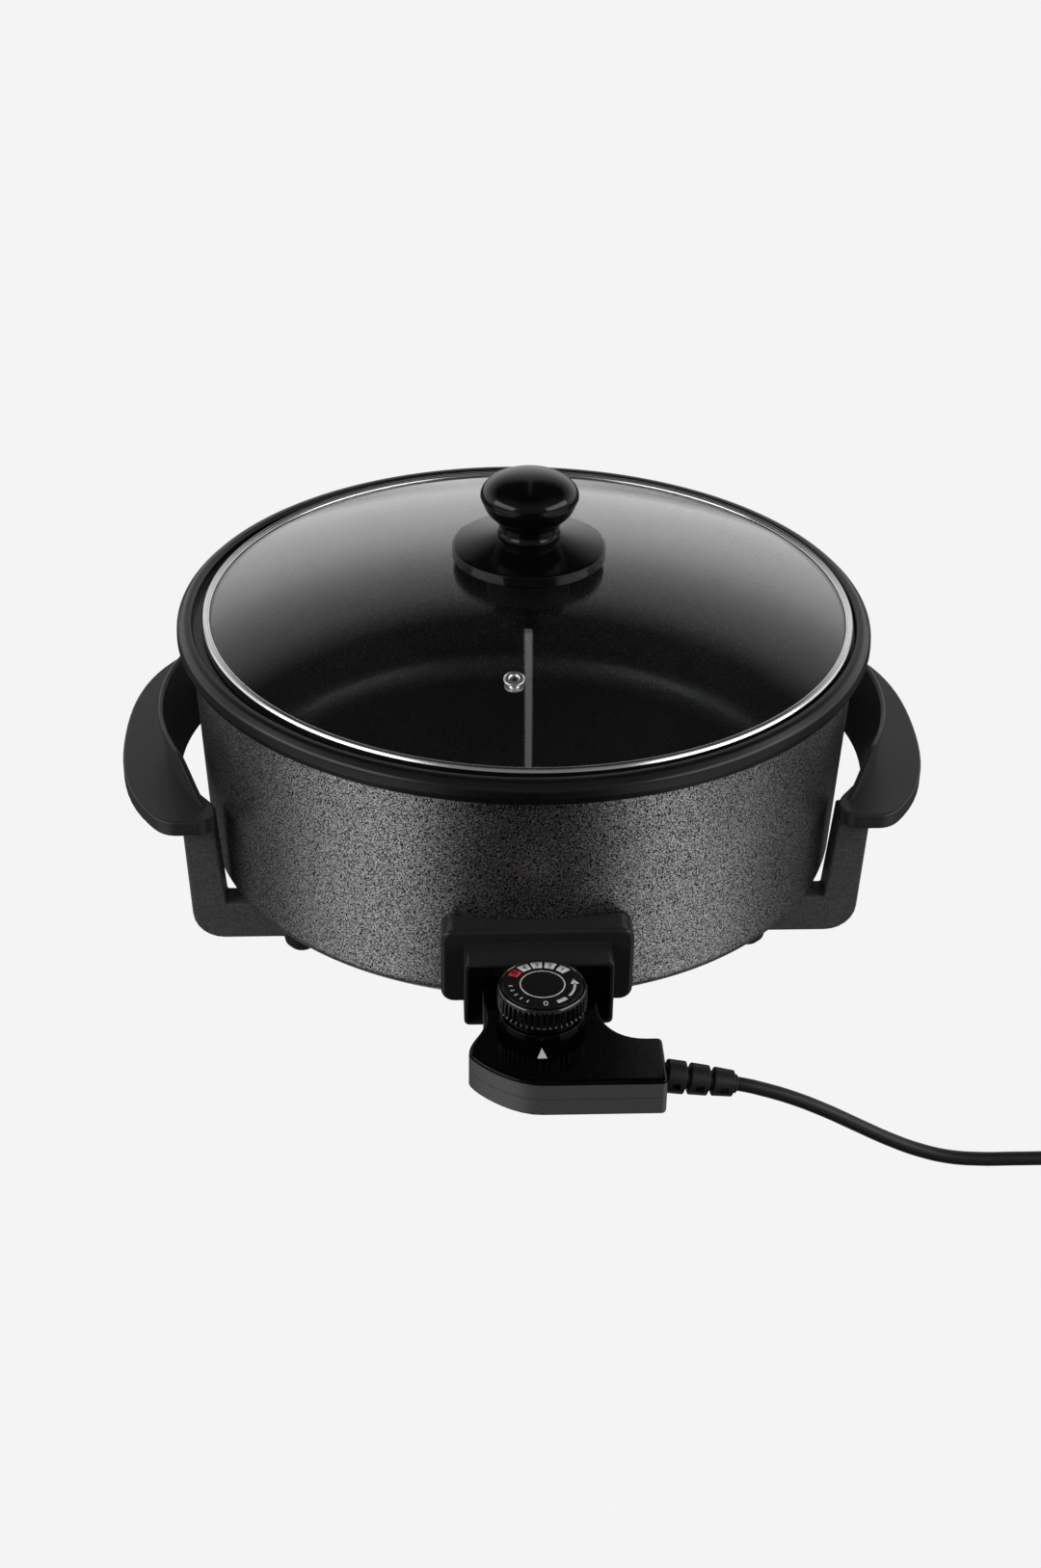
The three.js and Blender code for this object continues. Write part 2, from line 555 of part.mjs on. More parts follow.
// ------------------------------------------------------- lead and plug
// The lead leaves the strain relief, sags to the worktop, runs to a coil of
// the spare length, held by a tie, and ends in a two-pin plug.
function makeCord() {
  const { radius, exitX, exitY, exitZ } = CORD;
  const onTable = radius + GAP;
  const lead = [
    [exitX + 2.2, -exitY, exitZ - 0.5], [exitX + 12, -exitY, exitZ - 3.2],
    [exitX + 28, -exitY - 0.2, exitZ - 9], [exitX + 45, -exitY - 0.6, exitZ - 17],
    [exitX + 62, -exitY - 1, exitZ - 26.4],
    [exitX + 78, -exitY - 1.6, exitZ - 35], [exitX + 94, -exitY - 2.2, exitZ - 42],
    [exitX + 110, -exitY - 2.8, exitZ - 46.4], [exitX + 126, -exitY - 3.2, onTable],
    [exitX + 142, -exitY - 3.4, onTable], [exitX + 166, -exitY - 3.5, onTable],
    [exitX + 191, -exitY - 3.5, onTable]];
  addMesh('cord_lead', tube(lead, radius, 20), RUBBER);

  const { inner, outer, height } = COIL;
  const ring = turned([[inner, 0.1], [outer, 0.1], [outer, height], [inner, height]], 36);
  addMesh('cord_coil', ring.translate(COIL.x, COIL.y, 0), RUBBER);

  const tieY = COIL.y + (COIL.inner + COIL.outer) / 2;
  const tie = cut(
    box(COIL.x - 5, COIL.x + 5, tieY - 9, tieY + 9, 0.1, COIL.height + 2),
    box(COIL.x - 6, COIL.x + 6, tieY - 7.9, tieY + 7.9, -1, COIL.height + 0.4),
  );
  addMesh('cord_tie', tie, PRINT);

  const tail = [
    [PLUG.x + 4, COIL.y + 26, onTable], [PLUG.x + 3, COIL.y + 39, onTable + 0.3],
    [PLUG.x + 1.8, COIL.y + 51, onTable + 3],
    [PLUG.x + 0.7, COIL.y + 63, onTable + 8.4], [PLUG.x + 0.1, COIL.y + 72, PLUG.z - 1.6],
    [PLUG.x, PLUG.start - GAP - 0.5, PLUG.z - 0.2]];
  addMesh('cord_tail', tube(tail, radius, 6), RUBBER);

  const { bodyR, length } = PLUG;
  const plugProfile = [[0, 0], [4.8, 0], [5.4, 1], [7.4, 17], [12, 22], [bodyR - 0.6, 30], [bodyR, 34],
    [bodyR, length - 1], [bodyR - 1, length], [0, length]];
  const plug = turned(plugProfile, 24).rotateX(-Math.PI / 2).translate(PLUG.x, PLUG.start, PLUG.z);
  addMesh('plug_body', plug, RUBBER);
  for (const [side, name] of [[-1, 'left'], [1, 'right']]) {
    const { pinR, pinLength, pinX } = PLUG;
    const tip = length + pinLength;
    const root = length + GAP;
    const pin = turned([[0, root], [pinR, root], [pinR, tip - 2], [pinR - 0.8, tip], [0, tip]], 12);
    pin.rotateX(-Math.PI / 2).translate(PLUG.x + side * pinX, PLUG.start, PLUG.z);
    addMesh(`plug_pin_${name}`, pin, STEEL);
  }
}

makePan();
makeElement();
makeHandles();
makeLegs();
makeShroud();
makeController();
makeDial();
makeLid();
makeCord();

export default appliance;
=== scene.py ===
"""Looks for an electric griddle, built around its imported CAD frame.

Sizes in this file are millimetres, measured from the pan's axis on the worktop; place() turns a point into
metres in the shared frame. The camera and the helpers come first, then the materials, the mains lead, one
function for each sub-part, and the floor and lights.
"""
import json
import math

import bmesh
import bpy
from mathutils import Matrix, Vector


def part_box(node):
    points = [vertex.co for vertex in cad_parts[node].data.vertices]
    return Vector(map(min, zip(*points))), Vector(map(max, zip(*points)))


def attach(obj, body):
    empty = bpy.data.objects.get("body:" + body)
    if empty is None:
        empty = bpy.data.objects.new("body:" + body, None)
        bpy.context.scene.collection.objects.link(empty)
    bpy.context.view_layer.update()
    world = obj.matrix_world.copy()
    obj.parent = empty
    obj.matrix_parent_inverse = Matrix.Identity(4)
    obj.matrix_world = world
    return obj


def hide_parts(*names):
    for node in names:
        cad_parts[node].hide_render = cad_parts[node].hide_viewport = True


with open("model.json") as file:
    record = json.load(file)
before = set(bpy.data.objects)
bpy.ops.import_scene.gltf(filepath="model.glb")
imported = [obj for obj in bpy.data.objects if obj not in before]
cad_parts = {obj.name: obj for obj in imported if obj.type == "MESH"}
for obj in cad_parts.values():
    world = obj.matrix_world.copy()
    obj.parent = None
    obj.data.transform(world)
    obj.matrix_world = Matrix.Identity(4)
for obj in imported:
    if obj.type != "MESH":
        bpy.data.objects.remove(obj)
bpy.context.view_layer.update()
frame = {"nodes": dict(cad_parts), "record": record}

MM = 0.001
TAU = 2 * math.pi
pan_low, pan_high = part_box("pan_body")
AXIS = Vector(((pan_low.x + pan_high.x) / 2, (pan_low.y + pan_high.y) / 2, 0))


def place(x, y, z):
    return AXIS + Vector((x, y, z)) * MM


def span(node):
    """A CAD node's box in this file's millimetres, as (low, high)."""
    low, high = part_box(node)
    return (low - AXIS) / MM, (high - AXIS) / MM


# ------------------------------------------------------------------ camera
CAMERA_SPOT = (-61.41, -1195.15, 792.28)
CAMERA_PITCH, CAMERA_YAW, CAMERA_ROLL = (math.radians(a) for a in (31.47, -2.92, 0.94))
CAMERA_LENS = 55.3


def make_camera():
    data = bpy.data.cameras.new("camera")
    data.lens = CAMERA_LENS
    data.sensor_width = 36
    data.clip_end = 50
    level = math.cos(CAMERA_PITCH)
    forward = Vector((-math.sin(CAMERA_YAW) * level, math.cos(CAMERA_YAW) * level, -math.sin(CAMERA_PITCH)))
    side = Vector((math.cos(CAMERA_YAW), math.sin(CAMERA_YAW), 0))
    up = side.cross(forward)
    right = side * math.cos(CAMERA_ROLL) + up * math.sin(CAMERA_ROLL)
    top = up * math.cos(CAMERA_ROLL) - side * math.sin(CAMERA_ROLL)
    turn = Matrix((right, top, -forward)).transposed().to_4x4()
    camera = bpy.data.objects.new("camera", data)
    camera.matrix_world = Matrix.Translation(place(*CAMERA_SPOT)) @ turn
    bpy.context.scene.collection.objects.link(camera)
    bpy.context.scene.camera = camera


# ------------------------------------------------------------ small helpers
def ease(share):
    share = min(max(share, 0.0), 1.0)
    return share * share * (3 - 2 * share)


def fillet(points, closed=False, steps=6):
    """A polyline with its corners rounded. A point is (a, b), or (a, b, radius) at a corner to round."""
    rounded = []
    last = len(points) - 1
    for i, point in enumerate(points):
        here = Vector(point[:2])
        if len(point) < 3 or (not closed and i in (0, last)):
            rounded.append(here)
            continue
        before = Vector(points[i - 1][:2]) - here
        after = Vector(points[(i + 1) % len(points)][:2]) - here
        half = before.angle(after) / 2
        reach = min(point[2] / math.tan(half), 0.49 * before.length, 0.49 * after.length)
        radius = reach * math.tan(half)
        centre = here + (before.normalized() + after.normalized()).normalized() * radius / math.sin(half)
        start = here + before.normalized() * reach - centre
        end = here + after.normalized() * reach - centre
        first = math.atan2(start.y, start.x)
        sweep = (math.atan2(end.y, end.x) - first + math.pi) % TAU - math.pi
        for k in range(steps + 1):
            angle = first + sweep * k / steps
            rounded.append(centre + Vector((math.cos(angle), math.sin(angle))) * radius)
    return rounded


def trace(start, *legs, steps=10):
    """An outline from start through legs. Each leg gives the further control points of a line or a Bezier
    curve."""
    outline = [Vector(start)]
    for leg in legs:
        controls = [outline[-1], *(Vector(point) for point in leg)]
        count = 1 if len(controls) == 2 else steps
        for k in range(1, count + 1):
            ring = controls
            while len(ring) > 1:
                ring = [a.lerp(b, k / count) for a, b in zip(ring, ring[1:])]
            outline.append(ring[0])
    return outline


def piece(name, points, faces, looks, zones=None):
    """A new mesh object with outward faces. looks is one material or several, and zones gives each face the
    index of its own."""
    mesh = bpy.data.meshes.new(name)
    mesh.from_pydata(points, [], faces)
    for look in looks if isinstance(looks, list) else [looks]:
        mesh.materials.append(look)
    if zones:
        mesh.polygons.foreach_set("material_index", zones)
    work = bmesh.new()
    work.from_mesh(mesh)
    bmesh.ops.recalc_face_normals(work, faces=work.faces)
    work.to_mesh(mesh)
    work.free()
    mesh.shade_smooth()
    made = bpy.data.objects.new(name, mesh)
    bpy.context.scene.collection.objects.link(made)
    return made


def lathe(name, profile, looks, segments=128, centre=(0, 0), zones=None, ribs=None):
    """A turned piece about a vertical line. profile is (radius, z) points; one that doesn't reach the axis
    closes on itself. zones gives each stretch of the profile its material, and ribs(row, angle) adds to the
    radius."""
    points, rows = [], []
    for row, (radius, z) in enumerate(profile):
        on_axis = radius < 1e-6
        ring = []
        for k in range(1 if on_axis else segments):
            angle = TAU * k / segments
            r = radius + (ribs(row, angle) if ribs else 0)
            ring.append(len(points))
            points.append(place(centre[0] + r * math.cos(angle), centre[1] + r * math.sin(angle), z))
        rows.append(ring)
    pairs = list(zip(range(len(rows)), range(1, len(rows))))
    if len(rows[0]) > 1 and len(rows[-1]) > 1:
        pairs.append((len(rows) - 1, 0))
    faces, face_zones = [], []
    for stretch, (i, j) in enumerate(pairs):
        for k in range(segments):
            corners = [rows[i][k % len(rows[i])], rows[i][(k + 1) % len(rows[i])]]
            corners += [rows[j][(k + 1) % len(rows[j])], rows[j][k % len(rows[j])]]
            faces.append(tuple(dict.fromkeys(corners)))
            face_zones.append(zones[stretch] if zones else 0)
    return piece(name, points, faces, looks, face_zones)


def prism(name, outline, low, high, looks, upright=False):
    """A solid of one outline: (x, y) points from z low to high, or upright, (x, z) points from y low to
    high."""
    def corner(point, depth):
        return place(point[0], depth, point[1]) if upright else place(point[0], point[1], depth)

    count = len(outline)
    points = [corner(point, depth) for depth in (low, high) for point in outline]
    faces = [tuple(range(count)), tuple(range(count, 2 * count))]
    faces += [(i, (i + 1) % count, (i + 1) % count + count, i + count) for i in range(count)]
    return piece(name, points, faces, looks)


def box(name, low, high, looks):
    corners = [(low[0], low[1]), (high[0], low[1]), (high[0], high[1]), (low[0], high[1])]
    return prism(name, corners, low[2], high[2], looks)


def rounded_box(half_x, low, high, radius):
    corners = [(-half_x, low), (half_x, low), (half_x, high), (-half_x, high)]
    return fillet([(x, z, radius) for x, z in corners], closed=True)


def settle(made):
    """Applies a piece's modifiers to its mesh."""
    whole = made.evaluated_get(bpy.context.evaluated_depsgraph_get())
    mesh = bpy.data.meshes.new_from_object(whole)
    made.modifiers.clear()
    made.data = mesh
    return made


def soften(made, width, steps=3):
    """Rounds a piece's sharp edges."""
    bevel = made.modifiers.new("edges", "BEVEL")
    bevel.width = width * MM
    bevel.segments = steps
    bevel.limit_method = "ANGLE"
    bevel.angle_limit = math.radians(40)
    return settle(made)


def combine(made, other, operation):
    boolean = made.modifiers.new("combine", "BOOLEAN")
    boolean.object = other
    boolean.operation = operation
    boolean.solver = "EXACT"
    settle(made)
    bpy.data.objects.remove(other)
    return made


def hand_over(made, body, slot, *nodes):
    """Ends a piece: clean shading, its body and the CAD nodes that it stands for, which it hides. The slot
    argument is not used.
    """
    made.data.shade_smooth()
    made.data.set_sharp_from_angle(angle=math.radians(38))
    made.modifiers.new("shading", "WEIGHTED_NORMAL").keep_sharp = True
    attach(made, body)
    if nodes:
        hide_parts(*nodes)
    return made


def turn_about(made, point, rotation):
    """Turns a piece's mesh about a point given in this file's millimetres."""
    pivot = Matrix.Translation(place(*point))
    made.data.transform(pivot @ rotation @ pivot.inverted())
    return made


# ---------------------------------------------------------------- materials
WEAR_GRAIN = 38  # cells a metre in the slow change of roughness over a surface


def look(name, **values):
    """A Principled material. Each value goes to the socket of that name, on the shader itself."""
    material = bpy.data.materials.new(name)
    material.use_nodes = True
    shader = material.node_tree.nodes["Principled BSDF"]
    for key, value in values.items():
        shader.inputs[key.replace("_", " ")].default_value = value
    return material


def grey(value, tint=0.0):
    return (value, value, value * (1 + tint), 1)


def textured(name, dark, light, rough, grain, depth, edges=(0.4, 0.6), rough_spread=0.06, **values):
    """A surface with grain: a noise of that many cells a metre sets its colour between dark and light, and
    its relief, depth millimetres deep. edges is where the noise goes from dark to light."""
    material = look(name, **values)
    nodes = material.node_tree.nodes
    links = material.node_tree.links
    shader = nodes["Principled BSDF"]
    spot = nodes.new("ShaderNodeTexCoord")
    noise = nodes.new("ShaderNodeTexNoise")
    noise.inputs["Scale"].default_value = grain
    noise.inputs["Detail"].default_value = 2
    noise.inputs["Distortion"].default_value = 0.4
    links.new(spot.outputs["Object"], noise.inputs["Vector"])
    ramp = nodes.new("ShaderNodeValToRGB")
    ramp.color_ramp.elements[0].position = edges[0]
    ramp.color_ramp.elements[0].color = dark
    ramp.color_ramp.elements[1].position = edges[1]
    ramp.color_ramp.elements[1].color = light
    links.new(noise.outputs["Fac"], ramp.inputs["Fac"])
    links.new(ramp.outputs["Color"], shader.inputs["Base Color"])
    wear = nodes.new("ShaderNodeTexNoise")
    wear.inputs["Scale"].default_value = WEAR_GRAIN
    wear.inputs["Detail"].default_value = 4
    links.new(spot.outputs["Object"], wear.inputs["Vector"])
    spread = nodes.new("ShaderNodeMapRange")
    spread.inputs["To Min"].default_value = rough - rough_spread
    spread.inputs["To Max"].default_value = rough + rough_spread
    links.new(wear.outputs["Fac"], spread.inputs["Value"])
    links.new(spread.outputs["Result"], shader.inputs["Roughness"])
    bump = nodes.new("ShaderNodeBump")
    bump.inputs["Strength"].default_value = 1
    bump.inputs["Distance"].default_value = depth * MM
    links.new(noise.outputs["Fac"], bump.inputs["Height"])
    links.new(bump.outputs["Normal"], shader.inputs["Normal"])
    return material


def clear_glass():
    """Clear glass that lamps shine through, so that what is under the lid is lit."""
    material = look("clear_glass", Base_Color=(0.97, 0.985, 0.98, 1), Roughness=0.0, IOR=1.5)
    tree = material.node_tree
    shader = tree.nodes["Principled BSDF"]
    shader.inputs["Transmission Weight"].default_value = 1
    output = tree.nodes["Material Output"]
    open_way = tree.nodes.new("ShaderNodeBsdfTransparent")
    open_way.inputs["Color"].default_value = (0.9, 0.92, 0.915, 1)
    path = tree.nodes.new("ShaderNodeLightPath")
    mix = tree.nodes.new("ShaderNodeMixShader")
    tree.links.new(path.outputs["Is Shadow Ray"], mix.inputs["Fac"])
    tree.links.new(shader.outputs["BSDF"], mix.inputs[1])
    tree.links.new(open_way.outputs["BSDF"], mix.inputs[2])
    tree.links.new(mix.outputs["Shader"], output.inputs["Surface"])
    return material


HAMMERTONE = textured("hammertone", grey(0.003), grey(0.6), 0.3, 1450, 0.07, (0.44, 0.58), Metallic=0.94)
RIM_BLACK = textured("rim_black", grey(0.004), grey(0.008), 0.3, 900, 0.02, Specular_IOR_Level=0.36)
NONSTICK = textured(
    "nonstick", grey(0.003), grey(0.09), 0.46, 1300, 0.04, (0.54, 0.72),
    Specular_IOR_Level=0.4)
BAKELITE = textured(
    "bakelite", grey(0.006, 0.03), grey(0.01, 0.03), 0.38, 1100, 0.025,
    Specular_IOR_Level=0.45)
KNOB_BLACK = textured(
    "knob_black", grey(0.002), grey(0.003), 0.14, 400, 0.003, rough_spread=0.02,
    Specular_IOR_Level=0.3)
# Painted light: the shroud's bakelite, lighter than BAKELITE, stands in for light on the guard's front
SHROUD_BLACK_PAINTED_FILL = textured("shroud_black_painted_fill", grey(0.018), grey(0.024), 0.24, 1100, 0.012, Specular_IOR_Level=0.22)
# Painted light: the legs' bakelite, much lighter than BAKELITE, stands in for light falling on their fronts
LEG_BLACK_PAINTED_FILL = textured("leg_black_painted_fill", grey(0.07, 0.03), grey(0.105, 0.03), 0.5, 700, 0.05, Specular_IOR_Level=0.3)
# Painted light: the grips' bakelite, lighter than BAKELITE, is set to stand in for how light falls on them
GRIP_BLACK_PAINTED_FILL = textured(
    "grip_black_painted_fill", grey(0.022, 0.03), grey(0.034, 0.03), 0.42, 1000, 0.03,
    Specular_IOR_Level=0.4)
DIAL_BLACK = textured("dial_black", grey(0.003), grey(0.005), 0.12, 300, 0.003, Specular_IOR_Level=0.7)
WASHER_BLACK = textured("washer_black", grey(0.003), grey(0.008), 0.55, 1300, 0.03, Specular_IOR_Level=0.12)
EYELET = textured("eyelet_steel", grey(0.74), grey(0.84), 0.3, 1800, 0.002, Metallic=1.0)
GLOSS = textured(
    "gloss_black", grey(0.001), grey(0.0016), 0.08, 220, 0.002, rough_spread=0.02,
    Specular_IOR_Level=0.12)
# Matt finish of the controller base, its grey lighter than the plastic's own: partly painted light on its
# front faces
SATIN_PAINTED_FILL = textured("controller_base", grey(0.075), grey(0.1), 0.36, 1300, 0.012)
RUBBER = textured("foot_rubber", grey(0.008), grey(0.014), 0.7, 1400, 0.03, Specular_IOR_Level=0.3)
CORD_SKIN = textured("cord_skin", grey(0.008), grey(0.013), 0.45, 800, 0.012, Specular_IOR_Level=0.4)
TIE = textured("tie_plastic", grey(0.008), grey(0.014), 0.5, 900, 0.02, Specular_IOR_Level=0.4)
STEEL = textured("polished_steel", grey(0.68), grey(0.74), 0.2, 1800, 0.002, Metallic=1.0)
ZINC = textured("zinc_steel", grey(0.5), grey(0.62), 0.34, 1500, 0.01, Metallic=1.0)
SHEATH = textured("element_sheath", grey(0.12), grey(0.26), 0.45, 420, 0.01, Metallic=1.0)
NICKEL = textured(
    "nickel_plate", (0.66, 0.64, 0.6, 1), (0.74, 0.72, 0.67, 1), 0.18, 1500, 0.003,
    Metallic=1.0)
BRASS = textured("brass", (0.62, 0.44, 0.2, 1), (0.74, 0.56, 0.28, 1), 0.3, 1200, 0.006, Metallic=1.0)
CERAMIC = textured("ceramic", grey(0.74), grey(0.84), 0.6, 1500, 0.02)
DIAL_PRINT = textured("dial_print", grey(0.004), grey(0.006), 0.24, 700, 0.003)
WHITE_PAINT = textured("white_paint", grey(0.74), grey(0.84), 0.4, 2500, 0.004)
RED_PAINT = textured("red_paint", (0.62, 0.01, 0.025, 1), (0.74, 0.015, 0.035, 1), 0.4, 2500, 0.004)
GLASS = clear_glass()

# --------------------------------------------------------------- mains lead
CORD_RADIUS = 3.5
CORD_EXIT = (94, -270, 51.6)
COIL_CENTRE = (312, -231)
COIL_TURNS = 4.25
COIL_STEPS = 24  # points in each turn
COIL_LAYERS = [(42.5, 3.8), (35.5, 3.8), (35.5, 10.9), (42.5, 10.9), (42.5, 18.0)]
COIL_SHIFT = 0.8  # the share of a turn after which the lead moves to its next place
LEAD_ROUTE = [
    (91, -270, 52.3), (98, -270, 50.8), (106, -270, 48.4), (122, -270.2, 42.6), (139, -270.6, 34.6),
    (156, -271, 25.2), (172, -271.6, 16.6), (188, -272.2, 9.6), (204, -272.8, 5.2), (220, -273.2, 3.8),
    (236, -273.4, 3.8), (260, -273.5, 3.8), (285, -273.5, 3.8),
]
TAIL_ROUTE = [
    (354.5, -219, 15.0), (354.5, -205, 8.6), (353.5, -192, 4.6), (352.3, -180, 6.4),
    (351.2, -168, 12.2), (350.6, -159, 17.0), (350.5, -152.8, 18.4),
]


def coil_point(turn):
    layer = min(int(turn), len(COIL_LAYERS) - 1)
    share = ease((turn - layer - COIL_SHIFT) / (1 - COIL_SHIFT))
    here = Vector(COIL_LAYERS[layer])
    there = Vector(COIL_LAYERS[min(layer + 1, len(COIL_LAYERS) - 1)])
    radius, z = here.lerp(there, share)
    angle = TAU * turn - math.pi / 2
    return COIL_CENTRE[0] + radius * math.cos(angle), COIL_CENTRE[1] + radius * math.sin(angle), z


def curve_piece(name, route, radius, look_of):
    """A round bar or cord along a smooth open curve through the route's points."""
    data = bpy.data.curves.new(name, "CURVE")
    data.dimensions = "3D"
    data.bevel_depth = radius * MM
    data.bevel_resolution = 5
    data.resolution_u = 5
    data.use_fill_caps = True
    spline = data.splines.new("BEZIER")
    spline.bezier_points.add(len(route) - 1)
    for knot, point in zip(spline.bezier_points, route):
        knot.co = place(*point)
        knot.handle_left_type = "AUTO"
        knot.handle_right_type = "AUTO"
    data.materials.append(look_of)
    made = bpy.data.objects.new(name, data)
    bpy.context.scene.collection.objects.link(made)
    return made


def make_lead():
    coil = [coil_point(k / COIL_STEPS) for k in range(int(COIL_TURNS * COIL_STEPS) + 1)]
    lead = curve_piece("mains_lead", LEAD_ROUTE + coil + TAIL_ROUTE, CORD_RADIUS, CORD_SKIN)
    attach(lead, "controller")
    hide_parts("cord_lead", "cord_coil", "cord_tail")
    return lead


def stand_at(made, start, axis_turn):
    """Moves a piece built about the pan's axis to a start point, turned the way axis_turn sends +Z."""
    made.data.transform(Matrix.Translation(-AXIS))
    made.data.transform(Matrix.Translation(place(*start)) @ axis_turn)
    return made


def ring_along(start, axis_turn, profile, name, look_of, segments=48):
    """A turned piece whose own axis starts at a point and points the way axis_turn sends +Z."""
    return stand_at(lathe(name, profile, look_of, segments), start, axis_turn)


PLUG_START = (350.5, -152, 18.6)
PLUG_LENGTH = 51
PIN_LENGTH = 19
PIN_SPREAD = 9.5  # from the plug's axis to each pin's


def make_plug():
    """A round two-pin plug, lying on the worktop and pointing away from its lead."""
    along_y = Matrix.Rotation(-math.pi / 2, 4, "X")
    shell = [(0, 0), (4.8, 0, 0.6), (5.6, 3), (7.4, 17, 6), (12.4, 22.5, 5), (17.9, 30.5, 5)]
    shell += [(18.5, 34, 2), (18.5, 49.5, 1.4), (17.2, PLUG_LENGTH, 1), (0, PLUG_LENGTH)]
    plug = ring_along(PLUG_START, along_y, fillet(shell), "plug", CORD_SKIN, 64)
    hand_over(plug, "controller", "cord_rubber", "plug_body")
    pins = []
    for side, name in ((-1, "left"), (1, "right")):
        tip = PLUG_LENGTH + PIN_LENGTH
        rod = fillet([(0, PLUG_LENGTH + 0.3), (2.4, PLUG_LENGTH + 0.3), (2.4, tip, 1.8), (0, tip)])
        start = (PLUG_START[0] + side * PIN_SPREAD, PLUG_START[1], PLUG_START[2])
        pin = ring_along(start, along_y, rod, f"plug_prong_{name}", NICKEL, 24)
        pins.append(hand_over(pin, "controller", "nickel_plate", f"plug_pin_{name}"))
    return [plug, *pins]


# --------------------------------------------------------------------- pan
WALL_LOW, WALL_TOP = (179, 44), (185, 163.5)


def wall_radius(z):
    share = (z - WALL_LOW[1]) / (WALL_TOP[1] + 0.5 - WALL_LOW[1])
    return WALL_LOW[0] + (WALL_TOP[0] - WALL_LOW[0]) * share


def make_pan():
    """One bowl in three finishes: hammered outside, satin rim, non-stick inside."""
    outside = fillet([(0, 34), (178.6, 34, 10), (185, 163.5)], steps=10)
    rim = fillet([
        (185, 163.5), (190.6, 163.9, 1.6), (192.5, 168.4, 3), (192.3, 173.2, 4), (188.4, 177, 4),
        (185, 177, 0.6), (183.8, 175.6, 0.8), (183.6, 171.5, 0.4), (178.4, 171.5)])
    inside = fillet([(178.4, 171.5), (177.6, 171.2, 0.6), (174.4, 39, 17), (0, 39)], steps=14)
    profile = outside + rim[1:] + inside[1:]
    zones = [0] * (len(outside) - 1) + [1] * (len(rim) - 1) + [2] * (len(inside) - 1)
    pan = lathe("pan", profile, [HAMMERTONE, RIM_BLACK, NONSTICK], 256, zones=zones)
    hand_over(pan, "pan", "cast_coating", "pan_body")


# ----------------------------------------------------- handles, legs, feet
GRIP_LOW, GRIP_HIGH = 88, 97
SHIELD_X, SHIELD_RADIUS, SHIELD_HALF = -61.5, 145, 83  # its arc's centre and radius, and half its length
SHIELD_TOP, SHIELD_THICK, SHIELD_LEAN = 121, 3.2, 0.17
SHIELD_DROP, DROP_FROM = 24, 0.74  # how far its ends come down, and from which share of its half length
POST_HALF, POST_LOW, SHIELD_LOW = 56, 76, 90  # between its ends it goes on down through the grip
SHIELD_STEPS = 72


def make_grip(side, name):
    """A flat crescent grip with a leaning heat shield through its inner edge."""
    half = trace(
        (-226.5, 0),
        ((-226.5, -34), (-222, -62), (-206.5, -85)),
        ((-201, -93.5), (-197, -97), (-190, -97)),
        ((-181, -97),),
        ((-173, -97), (-169.5, -91), (-170, -84)),
        ((-171, -78), (-174, -74), (-177, -70)),
        ((-192, -50), (-200, -28), (-200.5, 0)),
    )
    outline = half + [Vector((x, -y)) for x, y in reversed(half[1:-1])]
    grip = soften(prism(f"grip_{name}", outline, GRIP_LOW, GRIP_HIGH, GRIP_BLACK_PAINTED_FILL), 1.3, 4)
    grip = combine(grip, make_shield(f"shield_{name}"), "UNION")
    if side > 0:
        turn_about(grip, (0, 0, 0), Matrix.Rotation(math.pi, 4, "Z"))
    hand_over(grip, "pan", "bakelite", f"handle_{name}")


def make_shield(name):
    """A curved, leaning plate whose ends come down in a soft slope."""
    half = math.asin(SHIELD_HALF / SHIELD_RADIUS)
    points, faces = [], []
    for k in range(SHIELD_STEPS + 1):
        share = 2 * k / SHIELD_STEPS - 1
        angle = half * share
        z_top = SHIELD_TOP - SHIELD_DROP * ease((abs(share) - DROP_FROM) / (1 - DROP_FROM))
        z_low = SHIELD_LOW if abs(SHIELD_RADIUS * math.sin(angle)) > POST_HALF else POST_LOW
        section = [(0, z_low), (0, z_top - 1.6), (0.5, z_top - 0.5), (1.6, z_top)]
        section += [(2.7, z_top - 0.5), (SHIELD_THICK, z_top - 1.6), (SHIELD_THICK, z_low)]
        for inset, z in section:
            reach = SHIELD_RADIUS - inset
            x = SHIELD_X - reach * math.cos(angle) + SHIELD_LEAN * (SHIELD_TOP - z)
            points.append(place(x, reach * math.sin(angle), z))
    width = len(section)
    for k in range(SHIELD_STEPS):
        for j in range(width):
            here, there = k * width + j, k * width + (j + 1) % width
            faces.append((here, there, there + width, here + width))
    faces.append(tuple(range(width)))
    faces.append(tuple(range(SHIELD_STEPS * width, (SHIELD_STEPS + 1) * width)))
    return piece(name, points, faces, GRIP_BLACK_PAINTED_FILL)


LEG_Y, LEG_HALF = 73.6, 8.7


def make_leg(side_x, side_y, name):
    """An L-shaped leg under a grip's end, and the foot below it."""
    corners = [(108, 11, 2), (185.4, 11, 17), (189, 87.7), (171.8, 87.7), (167.4, 33.7), (108, 33.7, 1.5)]
    outline = fillet(corners, closed=True)
    outline = [(side_x * x, z) for x, z in outline]
    low, high = sorted((side_y * LEG_Y - LEG_HALF, side_y * LEG_Y + LEG_HALF))
    leg = prism(f"stand_{name}", outline, low, high, LEG_BLACK_PAINTED_FILL, upright=True)
    hand_over(soften(leg, 1.4), "pan", "bakelite", f"leg_{name}")
    low_corner, high_corner = span(f"foot_{name}")
    centre = (low_corner + high_corner) / 2
    sole = fillet([(0, 0), (6.4, 0, 1), (9.4, 3.4, 2), (10, 6.4, 2), (10, 10.7, 0.6), (0, 10.7)])
    foot = lathe(f"pad_{name}", sole, RUBBER, 40, (centre.x, centre.y))
    hand_over(foot, "pan", "foot_rubber", f"foot_{name}")


